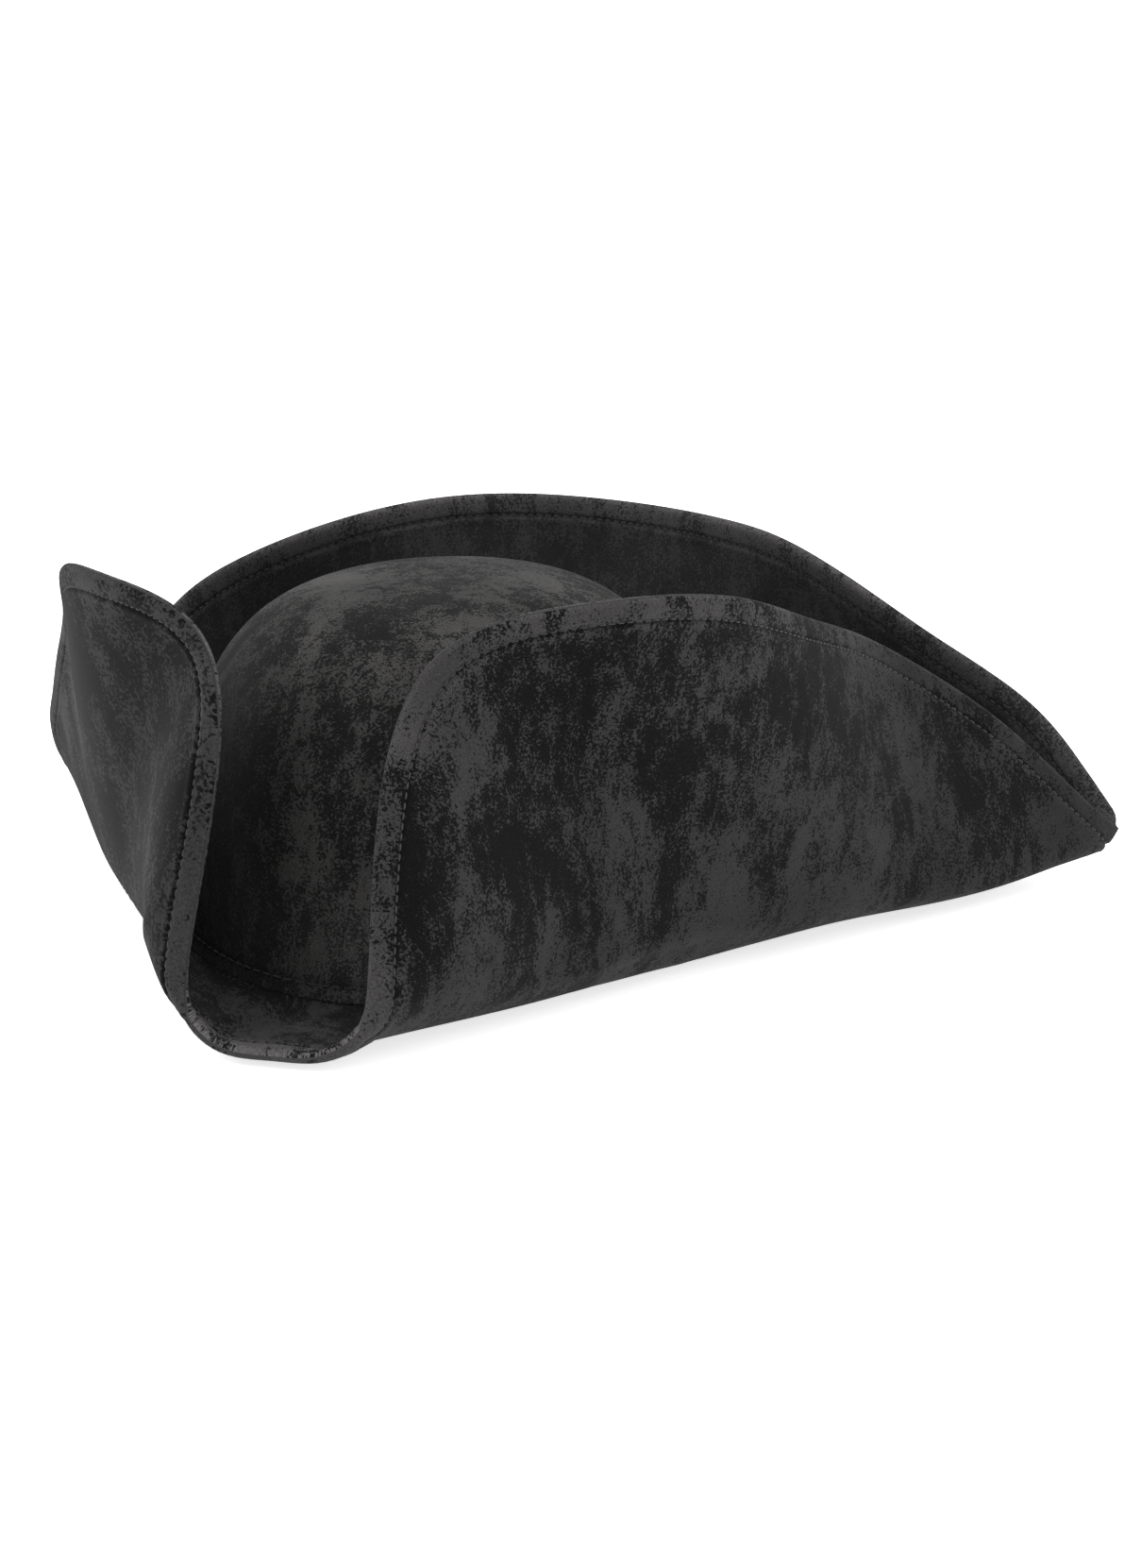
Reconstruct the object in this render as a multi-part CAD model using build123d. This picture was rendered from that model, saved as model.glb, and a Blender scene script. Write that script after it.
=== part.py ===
from build123d import *
import math
import os
import numpy as np

# A costume pirate hat (tricorn). Millimetres, +Z up, front towards -Y, the wearer's left towards +X.
# The origin is the centre of the head opening, in the plane that the hat rests on.

# Crown: a moulded oval dome
CROWN_HALF_WIDTH = 90.0
CROWN_HALF_DEPTH = 103.0
CROWN_HEIGHT = 127.5
CROWN_SIDE_POWER = 3.3
CROWN_TOP_POWER = 2.9
CROWN_BASE_Z = 3.95
SHELL_T = 1.0
STIFFENER_T = 1.85
LINING_T = 0.6
LAYER_GAP = 0.15

# Head opening and sweatband
OPENING_HALF_WIDTH = 86.0
SWEATBAND_T = 1.2
SWEATBAND_HEIGHT = 34.0
SWEATBAND_GAP = 0.7
CROWN_FOOT = 6.0
OVAL = CROWN_HALF_DEPTH / CROWN_HALF_WIDTH

# Brim: two covers laminated to a foam core
COVER_T = 0.7
FOAM_T = 1.9
BRIM_T = 2 * COVER_T + FOAM_T + 2 * LAYER_GAP
BRIM_MID_Z = BRIM_T / 2

# Crease lines of the three turn-ups, on the brim's middle surface
CREASE_FRONT = np.array([29.0, -166.0, 14.5])
CREASE_BEAK = np.array([201.0, 146.0, 13.5])
CREASE_BACK = np.array([0.0, 146.0, 13.5])
CREASE_DROP_FRONT = 7.0
CREASE_DROP_BEAK = 4.0
CREASE_HALF_GAP = 0.2

# Front spout: the open lip between the two side turn-ups
LIP_CENTRE_Y = -168.0
LIP_CENTRE_Z = 5.5
LIP_POWER = 2.85
LIP_FLATNESS = 0.35

# Free rim, each side from its crease at the spout to its beak, and the back from a beak to the centre.
# The wearer's right turn-up leans out more towards its beak. All points are given for +X.
FRONT_RIM = [(29, -166, 14.5), (33, -163, 28.5), (31, -147, 72.5), (40, -120, 125.5)]
BEAK_TIP = [(204, 152, 18.5)]
LEFT_RIM = [(82, -92, 140.5), (115, -48, 136.5), (128, 8, 118.5)]
LEFT_RIM += [(137, 66, 98.5), (164, 106, 69.5), (185, 128, 43.5)]
RIGHT_RIM = [(83, -92, 139.5), (120, -46, 133.5), (144, 10, 108.5)]
RIGHT_RIM += [(163, 50, 81.5), (183, 90, 56.5), (200, 125, 34.5)]
BACK_RIM = [(168, 142, 65.5), (119, 126, 103.5), (59, 150, 121.5), (0, 176, 121.5)]

# Edge channel: a wire inside the rim, closed by a row of topstitching
WIRE_START = 0.6
WIRE_END = 2.4
WIRE_HALF_T = 0.9
FOAM_SETBACK = 2.7
STITCH_START = 8.0
STITCH_END = 9.0
STITCH_LIFT = 0.65
STITCH_T = 0.4
STITCH_W = 1.0
STITCH_GAP = 0.1
SEAM_HEIGHT = 5.0
SWEATBAND_SEAM_Z = 4.0
SHORTEST_TURN_UP = 14.0

# Sampling of the lofted sheets
SECTION_POINTS = 8
WALL_SPACING = 1.8
SIDE_COLUMNS = 17
BACK_COLUMNS = 19
LIP_COLUMNS = 5
CREASE_COLUMNS = 13
BACK_CREASE_COLUMNS = 9

UP = np.array([0.0, 0.0, 1.0])


def unit(vector):
    return vector / np.linalg.norm(vector)


def flat(vector):
    return np.array([vector[0], vector[1], 0.0])


SIDE_RUN = unit(flat(CREASE_BEAK - CREASE_FRONT))
SIDE_OUT = np.array([SIDE_RUN[1], -SIDE_RUN[0], 0.0])
BACK_OUT = np.array([0.0, 1.0, 0.0])


def bezier(a, b, c, d, t):
    return (1 - t) ** 3 * a + 3 * (1 - t) ** 2 * t * b + 3 * (1 - t) * t**2 * c + t**3 * d


def closed_spline(points):
    """Cubic through a closed loop of points, with centripetal spacing: its knots and a function."""
    loop = np.array(points, float)
    count = len(loop)
    step = np.sqrt(np.linalg.norm(np.roll(loop, -1, 0) - loop, axis=1))
    knots = np.concatenate([[0.0], np.cumsum(step)])
    matrix = np.zeros((count, count))
    right = np.zeros((count, 3))
    for i in range(count):
        before = step[i - 1]
        after = step[i]
        matrix[i, i - 1] += before
        matrix[i, i] += 2 * (before + after)
        matrix[i, (i + 1) % count] += after
        slope_after = (loop[(i + 1) % count] - loop[i]) / after
        slope_before = (loop[i] - loop[i - 1]) / before
        right[i] = 6 * (slope_after - slope_before)
    bend = np.linalg.solve(matrix, right)

    def at(t):
        i = min(int(np.searchsorted(knots, t, side="right")) - 1, count - 1)
        h = step[i]
        p = loop[i]
        q = loop[(i + 1) % count]
        a = (knots[i + 1] - t) / h
        b = 1 - a
        sag = ((a**3 - a) * bend[i] + (b**3 - b) * bend[(i + 1) % count]) * h * h / 6
        return a * p + b * q + sag

    return knots, at


def rim_loop():
    """The whole free rim, from the lip's centre round by +X, with its knots at the guide points."""
    lip = [(0, LIP_CENTRE_Y, LIP_CENTRE_Z), (17, LIP_CENTRE_Y, LIP_CENTRE_Z + 1.5)]
    left = lip + FRONT_RIM + LEFT_RIM + BEAK_TIP + BACK_RIM
    right = lip + FRONT_RIM + RIGHT_RIM + BEAK_TIP + BACK_RIM
    return closed_spline(left + [(-x, y, z) for x, y, z in reversed(right[1:-1])])


RIM_KNOTS, RIM_AT = rim_loop()
BEAK_INDEX = 2 + len(FRONT_RIM + LEFT_RIM)
LEFT_KNOTS = (RIM_KNOTS[2], RIM_KNOTS[BEAK_INDEX])
BACK_KNOTS = (RIM_KNOTS[BEAK_INDEX], RIM_KNOTS[BEAK_INDEX + 2 * len(BACK_RIM)])
RIGHT_KNOTS = (RIM_KNOTS[-3], BACK_KNOTS[1])


def share_on_ray(start, end, ray):
    """Where a horizontal ray from the origin crosses a crease, as a share of the crease's length."""
    run = end - start
    across = start[0] * ray[1] - start[1] * ray[0]
    return across / (run[1] * ray[0] - run[0] * ray[1])


def rays_between(start, end, count):
    """Evenly turned horizontal rays from one point's direction to another's, front = 0."""
    first = math.atan2(start[0], -start[1])
    last = math.atan2(end[0], -end[1])
    return [np.array([math.sin(a), -math.cos(a), 0.0]) for a in np.linspace(first, last, count)]


def crease_drop(share):
    """How far the crease's corner lies below its middle point, from the spout (0) to the beak (1)."""
    return CREASE_DROP_FRONT + (CREASE_DROP_BEAK - CREASE_DROP_FRONT) * share


# Brim floor: radial sections from the head opening to the lip or to a crease


def floor_stations():
    """Outer points of the floor's right-hand half, each with its end slope and its end leg's length."""
    stations = []
    lip_x = CREASE_FRONT[0]
    corner_slope = unit(flat(CREASE_FRONT)) @ SIDE_OUT
    corner_leg = CREASE_DROP_FRONT / corner_slope
    for x in np.linspace(0, lip_x, LIP_COLUMNS)[:-1]:
        share = x / lip_x
        y = LIP_CENTRE_Y + (CREASE_FRONT[1] - LIP_CENTRE_Y) * share**2
        z = LIP_CENTRE_Z + (CREASE_FRONT[2] - LIP_CENTRE_Z) * share**LIP_POWER
        leg = LIP_FLATNESS * (-y - CROWN_HALF_DEPTH) * (1 - share**2) + corner_leg * share**2
        stations.append((np.array([x, y, z]), corner_slope * share**2, leg, FOAM_SETBACK))
    for ray in rays_between(CREASE_FRONT, CREASE_BEAK, CREASE_COLUMNS)[:-1]:
        share = share_on_ray(CREASE_FRONT, CREASE_BEAK, ray)
        outer = CREASE_FRONT + (CREASE_BEAK - CREASE_FRONT) * share
        slope = unit(flat(outer)) @ SIDE_OUT
        setback = max(CREASE_HALF_GAP, FOAM_SETBACK - 60 * share)
        stations.append((outer, slope, crease_drop(share) / slope, setback))
    for ray in rays_between(CREASE_BEAK, CREASE_BACK, BACK_CREASE_COLUMNS):
        outer = CREASE_BEAK + (CREASE_BACK - CREASE_BEAK) * share_on_ray(CREASE_BEAK, CREASE_BACK, ray)
        slope = unit(flat(outer)) @ BACK_OUT
        stations.append((outer, slope, CREASE_DROP_BEAK / slope, CREASE_HALF_GAP))
    return stations


def floor_section(station, low, high, near=None, far=None, setback=CREASE_HALF_GAP):
    """A closed radial section of one floor layer, between two heights off the middle surface."""
    outer, slope, leg, _ = station
    out = unit(flat(outer))
    reach = np.linalg.norm(flat(outer))
    edge = reach / math.hypot(outer[0] / OPENING_HALF_WIDTH, outer[1] / (OPENING_HALF_WIDTH * OVAL))
    foot = edge + CROWN_FOOT
    leg = min(leg, 0.45 * (reach - foot))
    p0 = out * foot + UP * BRIM_MID_Z
    p2 = outer - leg * (out + UP * slope)
    p1 = out * (foot + 0.45 * (p2 @ out - foot)) + UP * BRIM_MID_Z
    fine = np.array([bezier(p0, p1, p2, outer, t) for t in np.linspace(0, 1, 101)])
    along = fine @ out
    first = reach - far if far is not None else edge
    last = reach - near if near is not None else reach - setback
    places = np.linspace(first, last, SECTION_POINTS)
    if far is None:
        places = np.concatenate([[edge], np.linspace(foot, last, SECTION_POINTS - 1)])
    heights = np.interp(places, along, fine[:, 2])
    middle = [out * place + UP * height for place, height in zip(places, heights)]
    return closed_strip([p + UP * low for p in middle], [p + UP * high for p in middle])


def closed_strip(lower, upper):
    """A closed wire of two smooth curves and two short ends."""
    under = Spline(*[tuple(p) for p in lower])
    over = Spline(*[tuple(p) for p in upper])
    ends = [Line(tuple(lower[-1]), tuple(upper[-1])), Line(tuple(upper[0]), tuple(lower[0]))]
    return Wire([under, ends[0], over, ends[1]])


def sheet_between(wires):
    """A solid through a row of closed sections."""
    return Solid.make_loft(wires, ruled=True)


def whole(half):
    """Joins a right-hand half to its mirror image on the centre plane."""
    return half.fuse(mirror(half, about=Plane.YZ)).clean()


def floor_layer(low, high, use_foam_setback=False):
    wires = []
    for station in floor_stations():
        setback = station[3] if use_foam_setback else min(station[3], CREASE_HALF_GAP)
        wires.append(floor_section(station, low, high, setback=setback))
    return whole(sheet_between(wires))


def lip_strip(low, high, near, far):
    """A narrow strip of the floor along the spout's lip."""
    stations = floor_stations()[:LIP_COLUMNS]
    return whole(sheet_between([floor_section(s, low, high, near=near, far=far) for s in stations]))


# Turn-ups: sections square to the crease, from the crease to the free rim


def wall_section(base, rim, out, drop, low, high, near, far):
    """A closed section of one turn-up layer. near and far are distances from the rim, down the wall."""
    rise = rim - base
    bend = min(drop, np.linalg.norm(rise) / 3)
    knee = base + bend * (out + UP)
    p1 = base + 0.8 * bend * (out + UP)
    p2 = knee + 0.3 * (rim - knee)
    fine = np.array([bezier(base, p1, p2, rim, t) for t in np.linspace(0, 1, 201)])
    legs = np.linalg.norm(np.diff(fine, axis=0), axis=1)
    length = np.concatenate([[0.0], np.cumsum(legs)])
    start = CREASE_HALF_GAP * math.sqrt(2) if far is None else length[-1] - far
    lower = []
    upper = []
    for step in np.linspace(0, 1, SECTION_POINTS):
        place = start + (length[-1] - near - start) * step**WALL_SPACING
        point = np.array([np.interp(place, length, fine[:, k]) for k in range(3)])
        ahead = np.array([np.interp(place + 0.5, length, fine[:, k]) for k in range(3)])
        behind = np.array([np.interp(place - 0.5, length, fine[:, k]) for k in range(3)])
        run = unit(ahead - behind)
        square = -out * run[2] + UP * (run @ out)
        turned = min(1.0, place / 8.0)
        facing = UP * (1 - turned) + square * turned
        lower.append(point + facing * low)
        upper.append(point + facing * high)
    return closed_strip(lower, upper)


def side_columns(knots, flip=1):
    """Crease point, rim point and crease drop of each section of a side turn-up, given for +X."""
    columns = []
    length = np.linalg.norm(flat(CREASE_BEAK - CREASE_FRONT))
    for t in np.linspace(knots[0], knots[1], SIDE_COLUMNS + 2):
        rim = RIM_AT(t) * np.array([flip, 1, 1])
        share = flat(rim - CREASE_FRONT) @ SIDE_RUN / length
        base = CREASE_FRONT + (CREASE_BEAK - CREASE_FRONT) * share
        if rim[2] - base[2] > SHORTEST_TURN_UP:
            columns.append((base, rim, crease_drop(share)))
    return columns


def back_columns():
    """The same for the back turn-up, from one beak to the other."""
    columns = []
    for t in np.linspace(BACK_KNOTS[0], BACK_KNOTS[1], BACK_COLUMNS):
        rim = RIM_AT(t)
        base = np.array([rim[0], CREASE_BACK[1], CREASE_BACK[2]])
        if rim[2] - base[2] > SHORTEST_TURN_UP:
            columns.append((base, rim, CREASE_DROP_BEAK))
    return columns


def wall_layer(columns, out, low, high, near=0.0, far=None):
    wires = [wall_section(base, rim, out, drop, low, high, near, far) for base, rim, drop in columns]
    return sheet_between(wires)


def turn_up(name, columns, out):
    """The five pieces of one turn-up, each under its node's name."""
    skin = FOAM_T / 2 + LAYER_GAP
    face = skin + COVER_T
    thread = face + STITCH_LIFT
    inner_row = wall_layer(columns, out, thread, thread + STITCH_T, STITCH_START, STITCH_END)
    outer_row = wall_layer(columns, out, -thread - STITCH_T, -thread, STITCH_START, STITCH_END)
    return {
        name + "_inner_cover": wall_layer(columns, out, skin, face),
        name + "_foam_core": wall_layer(columns, out, -FOAM_T / 2, FOAM_T / 2, FOAM_SETBACK),
        name + "_outer_cover": wall_layer(columns, out, -face, -skin),
        name + "_edge_wire": wall_layer(columns, out, -WIRE_HALF_T, WIRE_HALF_T, WIRE_START, WIRE_END),
        name + "_edge_stitching": Compound(children=[inner_row, outer_row]),
    }


def brim_floor():
    """The level middle of the brim, with the wire and the stitching of the spout's lip."""
    skin = FOAM_T / 2 + LAYER_GAP
    face = skin + COVER_T
    thread = face + STITCH_LIFT
    upper_row = lip_strip(thread, thread + STITCH_T, STITCH_START, STITCH_END)
    lower_row = lip_strip(-thread - STITCH_T, -thread, STITCH_START, STITCH_END)
    return {
        "brim_upper_cover": floor_layer(skin, face),
        "brim_foam_core": floor_layer(-FOAM_T / 2, FOAM_T / 2, use_foam_setback=True),
        "brim_under_cover": floor_layer(-face, -skin),
        "front_lip_wire": lip_strip(-WIRE_HALF_T, WIRE_HALF_T, WIRE_START, WIRE_END),
        "front_lip_stitching": Compound(children=[upper_row, lower_row]),
    }


# Crown


def dome_curve(inset, steps=10):
    """Half profile of the dome, moved inwards by inset, from its base to its top."""
    radius = CROWN_HALF_WIDTH - inset
    height = CROWN_HEIGHT - inset
    points = []
    for i in range(steps + 1):
        turn = math.pi / 2 * i / steps
        r = radius * max(math.cos(turn), 0.0) ** (2 / CROWN_TOP_POWER)
        z = height * math.sin(turn) ** (2 / CROWN_SIDE_POWER)
        points.append((r if i < steps else 0.0, 0.0, z))
    return Spline(*points, tangents=[(0, 0, 1), (-1, 0, 0)])


def dome_layer(inset, thickness):
    """One oval layer of the crown."""
    outer = dome_curve(inset)
    inner = dome_curve(inset + thickness)
    ends = [Line(outer @ 1, inner @ 1), Line(inner @ 0, outer @ 0)]
    profile = make_face([outer, ends[0], inner, ends[1]])
    dome = revolve(profile, axis=Axis.Z)
    return Pos(0, 0, CROWN_BASE_Z) * scale(dome, by=(1, OVAL, 1))


def oval_ring(half_width, thickness, bottom, height):
    """An upright oval band, given by its outer half width."""
    outer = Ellipse(half_width, half_width * OVAL)
    inner = Ellipse(half_width - thickness, (half_width - thickness) * OVAL)
    return Pos(0, 0, bottom) * extrude(outer - inner, height)


def crown():
    stiffener_inset = SHELL_T + LAYER_GAP
    lining_inset = stiffener_inset + STIFFENER_T + LAYER_GAP
    seam_out = CROWN_HALF_WIDTH + STITCH_GAP + STITCH_T
    sweatband_out = OPENING_HALF_WIDTH - SWEATBAND_GAP
    sweatband_in = sweatband_out - SWEATBAND_T
    return {
        "crown_shell": dome_layer(0.0, SHELL_T),
        "crown_stiffener": dome_layer(stiffener_inset, STIFFENER_T),
        "crown_lining": dome_layer(lining_inset, LINING_T),
        "crown_seam_stitching": oval_ring(seam_out, STITCH_T, CROWN_BASE_Z + SEAM_HEIGHT, STITCH_W),
        "sweatband": oval_ring(sweatband_out, SWEATBAND_T, 0.0, SWEATBAND_HEIGHT),
        "sweatband_stitching": oval_ring(sweatband_in - STITCH_GAP, STITCH_T, SWEATBAND_SEAM_Z, STITCH_W),
    }


def main():
    left = turn_up("left_turn_up", side_columns(LEFT_KNOTS), SIDE_OUT)
    right = turn_up("right_turn_up", side_columns(RIGHT_KNOTS, flip=-1), SIDE_OUT)
    right = {name: mirror(shape, about=Plane.YZ) for name, shape in right.items()}
    back = turn_up("back_turn_up", back_columns(), BACK_OUT)
    os.makedirs("parts", exist_ok=True)
    for pieces in (crown(), brim_floor(), left, right, back):
        for name, shape in pieces.items():
            export_step(shape, f"parts/{name}.step")


main()
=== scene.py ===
import math

import bpy
import numpy as np
from mathutils import Matrix, Vector


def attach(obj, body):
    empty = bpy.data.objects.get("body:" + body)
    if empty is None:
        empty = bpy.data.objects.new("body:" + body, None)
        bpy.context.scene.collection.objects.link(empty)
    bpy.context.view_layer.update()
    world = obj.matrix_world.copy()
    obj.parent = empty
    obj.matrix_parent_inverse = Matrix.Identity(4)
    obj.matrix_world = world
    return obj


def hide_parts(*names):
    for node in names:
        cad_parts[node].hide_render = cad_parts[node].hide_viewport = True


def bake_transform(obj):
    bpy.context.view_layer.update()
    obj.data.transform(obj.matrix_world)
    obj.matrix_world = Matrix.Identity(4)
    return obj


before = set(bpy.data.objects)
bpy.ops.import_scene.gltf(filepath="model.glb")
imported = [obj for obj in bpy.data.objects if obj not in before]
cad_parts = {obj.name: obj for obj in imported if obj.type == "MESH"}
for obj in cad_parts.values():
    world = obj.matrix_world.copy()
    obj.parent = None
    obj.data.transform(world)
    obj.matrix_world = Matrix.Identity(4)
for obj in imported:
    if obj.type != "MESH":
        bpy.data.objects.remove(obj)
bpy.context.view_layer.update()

MM = 0.001
rng = np.random.default_rng(7)


def mm(*values):
    return np.array(values, float) * MM


UP = np.array([0.0, 0.0, 1.0])
MIRROR = np.array([-1.0, 1.0, 1.0])

# ---------------------------------------------------------------- driving dimensions (metres)

# Crown
CROWN_HALF_WIDTH = 90.0 * MM
OVAL = 103.0 / 90.0
CROWN_HEIGHT = 125.5 * MM
CROWN_SIDE_POWER = 3.3
CROWN_TOP_POWER = 3.2
CROWN_BASE_Z = 3.95 * MM
OPENING_HALF_WIDTH = 86.0 * MM
CROWN_FOOT = 6.0 * MM
SEAM_HEIGHT = 5.0 * MM
SEAM_DENT = 0.45 * MM
SEAM_DENT_SPREAD = 0.6 * MM
FOOT_SWELL = 0.5 * MM
FOOT_SWELL_REACH = 2.2 * MM
SEAM_PITCH = 4.6 * MM
SEAM_STITCH = 3.6 * MM
SWEATBAND_OUT = 85.3 * MM
SWEATBAND_T = 1.2 * MM
SWEATBAND_HEIGHT = 34.0 * MM
SWEATBAND_SEAM_Z = 4.0 * MM

# Saddle: the hat's foot stands off the table at its front quarters
SADDLE_LIFT = 5.5 * MM
SADDLE_AT = math.radians(53.7)
SADDLE_SPREAD = math.radians(33.0)
SADDLE_FADE = 60.0 * MM  # the crown takes up the lift over this height

# Brim
BRIM_HALF_T = 1.8 * MM
BRIM_MID_Z = 1.8 * MM
CREASE_FRONT = mm(29, -166, 14.5)
CREASE_BEAK = mm(201, 146, 13.5)
CREASE_BACK = mm(0, 146, 13.5)
CREASE_DROP_FRONT = 7.0 * MM
CREASE_DROP_BEAK = 4.0 * MM
LIP_FLATNESS = 0.35
LIP_RIM = [(0, -168.5, 5.0), (17, -168.5, 6.3)]
TOP_CORNER = mm(40, -120, 125.5)
FRONT_RIM = [(29, -166, 14.5), (32, -163, 28.5), (29.5, -147, 72.5), (40, -120, 125.5)]
BEAK_TIP = [(204, 152, 18.5)]
LEFT_RIM = [(82, -92, 140.5), (115, -48, 136.5), (128, 8, 118.5)]
LEFT_RIM += [(137, 66, 98.5), (164, 106, 69.5), (185, 128, 43.5)]
RIGHT_RIM = [(83, -92, 139.5), (120, -46, 133.5), (144, 10, 108.5)]
RIGHT_RIM += [(164.5, 50, 81.5), (184.5, 90, 56.5), (200.5, 125, 34.5)]
LEFT_BACK_RIM = [(189, 151, 43.5), (168, 142, 68), (142, 130, 88), (119, 126, 103.5)]
LEFT_BACK_RIM += [(89, 134, 117.5), (59, 150, 122.5), (0, 176, 123.1)]
RIGHT_BACK_RIM = [(168, 142, 68.0), (119, 126, 105.5), (59, 150, 124.2), (0, 176, 123.1)]
RIM_ROLL = 1.5 * MM  # the rolled edge stands this far outside the rim wire
# Waves of the side creases: height in mm, place along the crease (0 front, 1 beak) and spread
LEFT_WAVES = [(4.4, 0.41, 0.11), (-4.4, 0.83, 0.13)]
RIGHT_WAVES = [(4.0, 0.27, 0.12), (-5.8, 0.68, 0.19)]
FAN = 0.9  # how much the sections of a side turn-up fan out from the front edge
CURL = 30.0 * MM  # reach of the curl that turns the front edges forwards
CURL_STARTS = 0.03  # places of the curl along a side's rim, from the front crease (0) to the beak (1)
CURL_FADES = 0.16
SIDE_TURN_AT = 0.93  # past this share of a crease its turn-up swings round to face the beak
SIDE_TURN_OVER = 0.07
BACK_TURN_AT = 0.88
BACK_TURN_OVER = 0.12
LEVEL_SHARE = 0.45  # of the level part: the most that its outer bend takes, and the place of its handle
KNEE_LEAD = 0.8
WALL_LEAD = 0.7
LOWEST_WALL = 1.0 * MM  # below this height a section has no turn-up

# Edge channel and topstitching
CHANNEL = 8.0 * MM
CHANNEL_PUFF = 0.55 * MM
GROOVE = 0.7 * MM
GROOVE_SPREAD = 0.55 * MM
RIDGE = 0.4 * MM
RIDGE_INSIDE = 1.9 * MM  # the ridge lies this far inside the groove
RIDGE_SPREAD = 1.1 * MM
EDGE_ROUND = 2.2 * MM  # the edge rounds over within this distance of the rim
STITCH_PITCH = 3.3 * MM
STITCH_LENGTH = 2.5 * MM
STITCH_R = 0.33 * MM
STITCH_SIDES = 6
STITCH_HALF = [(0.15, 1.0, 0.1), (0.4, 0.8, -0.15), (0.5, 0.25, -0.5)]  # place, thickness and lift
STITCH_LOOK = 0.4 * MM  # a stitch's direction is taken this far before and after its middle
STITCH_WANDER = 0.05

# The cloth of each turn-up: how bright its grey coat and its black are, which is painted shade, a little on
# the left turn-up and much on the right one, how much more worn it is, and over what share of the true
# distance its pattern runs, along the crease (stretch) and across it (grain)
SECTOR_COAT_SHADE = {"left": 0.9, "back": 1.0, "right": 0.61}
SECTOR_BLACK_SHADE = {"left": 0.9, "back": 1.0, "right": 0.6}
SECTOR_WORN = {"left": -0.03, "back": 0.0, "right": -0.06}
SECTOR_STRETCH = {"left": 1.0, "back": 1.0, "right": 0.42}
SECTOR_GRAIN = {"left": 1.0, "back": 1.0, "right": 0.75}

# Reach of the painted highlight beside the rim, of the wear and painted highlight on the ridge, of the
# painted shade in the groove and of the painted shade that dims the channel at the top front corner, and
# how worn the channel and the ridge are
RIM_HIGHLIGHT = 1.3 * MM
RIDGE_WEAR_AND_HIGHLIGHT = 1.6 * MM
GROOVE_SHADE = 0.7 * MM
CORNER_SHADE = 25 * MM
CHANNEL_WORN = 0.07
RIDGE_WORN = 0.04

# Places on the cloth far apart, so that two faces never show the same pattern
UPPER_FACE_CLOTH = mm(517, 213, 0)
CROWN_INSIDE_CLOTH = mm(900, 0, 0)

# Sampling
COLUMN_STEP = 2.4 * MM
EDGE_ROWS = mm(
    0, 0.25, 0.8, 1.6, 2.5, 3.5, 4.5, 5.5, 6.4, 7.1,
    7.6, 8.0, 8.4, 8.9, 9.5, 10.3, 11.3, 12.6, 14.2, 16)
FIELD_ROWS = 58
EDGE_REACH = 90.0 * MM  # the rows of the edge are looked for this far down a section
LEVEL_STEPS = 160
WALL_STEPS = 200
KNOT_SAMPLES = 2000
CROWN_TURNS = 200
CROWN_FOOT_SHARE = 0.07  # this lowest part of the crown's wall has closer rows
PROFILE_STEPS = 240
SHARP_ANGLE = math.radians(50)  # edges sharper than this stay sharp in shading


def unit(vectors):
    vectors = np.asarray(vectors, float)
    return vectors / np.maximum(np.linalg.norm(vectors, axis=-1, keepdims=True), 1e-12)


def flat(vector):
    return np.array([vector[0], vector[1], 0.0])


def smooth(x):
    x = np.clip(x, 0.0, 1.0)
    return x * x * (3 - 2 * x)


def bezier(a, b, c, d, t):
    t = np.asarray(t)[:, None]
    return (1 - t) ** 3 * a + 3 * (1 - t) ** 2 * t * b + 3 * (1 - t) * t**2 * c + t**3 * d


SIDE_RUN = unit(flat(CREASE_BEAK - CREASE_FRONT))
SIDE_OUT = np.array([SIDE_RUN[1], -SIDE_RUN[0], 0.0])
BACK_OUT = np.array([0.0, 1.0, 0.0])
CURL_WAY = unit(np.array([1.0, 0.0, -0.45]))
BEAK_OUT = unit(SIDE_OUT + BACK_OUT)


def closed_spline(points):
    """Cubic through a closed loop of points, with centripetal spacing: returns its knots and a function."""
    loop = np.array(points, float)
    count = len(loop)
    step = np.sqrt(np.linalg.norm(np.roll(loop, -1, 0) - loop, axis=1))
    knots = np.concatenate([[0.0], np.cumsum(step)])
    matrix = np.zeros((count, count))
    right = np.zeros((count, 3))
    for i in range(count):
        before = step[i - 1]
        after = step[i]
        matrix[i, i - 1] += before
        matrix[i, i] += 2 * (before + after)
        matrix[i, (i + 1) % count] += after
        right[i] = 6 * ((loop[(i + 1) % count] - loop[i]) / after - (loop[i] - loop[i - 1]) / before)
    bend = np.linalg.solve(matrix, right)

    def at(t):
        t = np.asarray(t, float)
        i = np.clip(np.searchsorted(knots, t, side="right") - 1, 0, count - 1)
        j = (i + 1) % count
        h = step[i][..., None]
        a = (knots[i + 1] - t)[..., None] / h
        b = 1 - a
        return a * loop[i] + b * loop[j] + ((a**3 - a) * bend[i] + (b**3 - b) * bend[j]) * h * h / 6

    return knots, at


def rim_loop():
    left = LIP_RIM + FRONT_RIM + LEFT_RIM + BEAK_TIP + LEFT_BACK_RIM
    right = LIP_RIM + FRONT_RIM + RIGHT_RIM + BEAK_TIP + RIGHT_BACK_RIM
    return closed_spline(np.array(left + [(-x, y, z) for x, y, z in reversed(right[1:-1])], float) * MM)


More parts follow.
